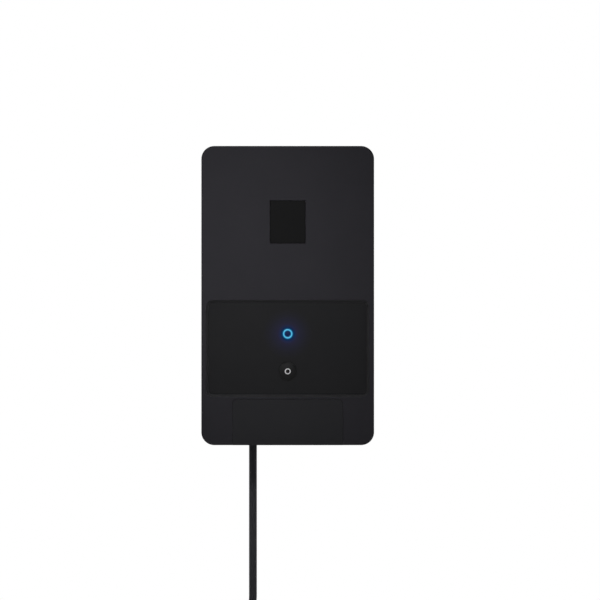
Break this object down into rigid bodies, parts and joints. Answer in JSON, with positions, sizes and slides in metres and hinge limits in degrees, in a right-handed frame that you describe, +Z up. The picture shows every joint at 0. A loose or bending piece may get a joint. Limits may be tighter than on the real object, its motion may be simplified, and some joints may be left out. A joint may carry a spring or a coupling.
{
  "type": "garden lighting smart hub",
  "caption": "Wall-hung low-voltage control box for garden lights, with a recessed panel, push button, lamp ring, sliding terminal cover and mains lead.",
  "frame": {"origin": "middle of the back face, on the wall", "axes": "+Z up, +X to the viewer's right, front faces -Y, +Y into the wall"},
  "size_m": [0.1507, 0.078, 0.539],
  "materials": {
    "housing_black": "moulded, fine satin texture",
    "cover_black": "moulded, fine satin texture",
    "fascia_black": "smooth satin",
    "badge_black": "satin",
    "button_black": "satin",
    "mark_white": "satin",
    "seal_rubber": "matte",
    "cord_rubber": "satin",
    "tie_plastic": "satin",
    "screw_steel": "zinc plated",
    "plate_steel": "plain",
    "brass": "plain",
    "sink_aluminium": "anodised",
    "winding_tape": "polyester tape over copper",
    "board_green": "solder mask",
    "component_black": "moulded",
    "component_white": "moulded",
    "terminal_plastic": "moulded",
    "relay_blue": "moulded",
    "capacitor_sleeve": "shrunk sleeve",
    "fuse_glass": "clear",
    "wire_brown": "extruded",
    "wire_red": "extruded",
    "lamp_blue": "lit light guide"
  },
  "bodies": {
    "housing": {"front_housing": "housing_black", "rear_housing": "housing_black", "housing_seal": "seal_rubber", "housing_screws": "screw_steel", "badge_plate": "badge_black", "control_fascia": "fascia_black", "light_ring": "lamp_blue", "light_ring_core": "button_black", "button_boot": "seal_rubber", "switch_body": "component_black", "control_board": "board_green", "board_screws": "screw_steel", "status_leds": "component_white", "transformer_winding": "winding_tape", "transformer_pad_rear": "seal_rubber", "transformer_pad_front": "seal_rubber", "transformer_dish": "plate_steel", "transformer_bolt": "screw_steel", "transformer_insert": "brass", "thermal_cutout": "component_black", "strain_relief": "cord_rubber", "inner_cord": "cord_rubber", "cord_clamp": "component_black", "clamp_screws": "screw_steel", "mains_connector": "component_white", "mains_wires": "wire_brown", "primary_wires": "wire_brown", "secondary_wires": "wire_red", "output_wires": "wire_red", "terminal_block": "terminal_plastic", "terminal_clamps": "brass", "terminal_screws": "screw_steel", "bay_grommet": "seal_rubber", "mains_cord": "cord_rubber", "mains_coil": "cord_rubber", "coil_tie": "tie_plastic", "mains_plug": "cord_rubber", "plug_pins": "plate_steel", "power_relay": "relay_blue", "wireless_module": "board_green", "module_shield": "plate_steel", "heat_sink": "sink_aluminium", "driver_transistors": "component_black", "filter_capacitors": "capacitor_sleeve", "board_connector": "component_white", "fuse": "fuse_glass", "fuse_clips": "brass"},
    "button": {"button_cap": "button_black", "button_mark": "mark_white"},
    "plunger": {"switch_plunger": "component_black"},
    "cover": {"terminal_cover": "cover_black"}
  },
  "joints": [
    {"name": "button_press", "type": "slide", "parent": "housing", "child": "button", "axis": [0, 1, 0], "range_m": [0, 0.001], "stiffness_N_per_m": 400, "springref_m": -0.002, "deforming": ["button_boot"]},
    {"name": "plunger_press", "type": "slide", "parent": "housing", "child": "plunger", "axis": [0, 1, 0], "range_m": [0, 0.001]},
    {"name": "cover_slide", "type": "slide", "parent": "housing", "child": "cover", "axis": [0, 0, -1], "range_m": [0, 0.037]}
  ],
  "couplings": [
    {"joint": "plunger_press", "follows": "button_press", "ratio": 1}
  ]
}
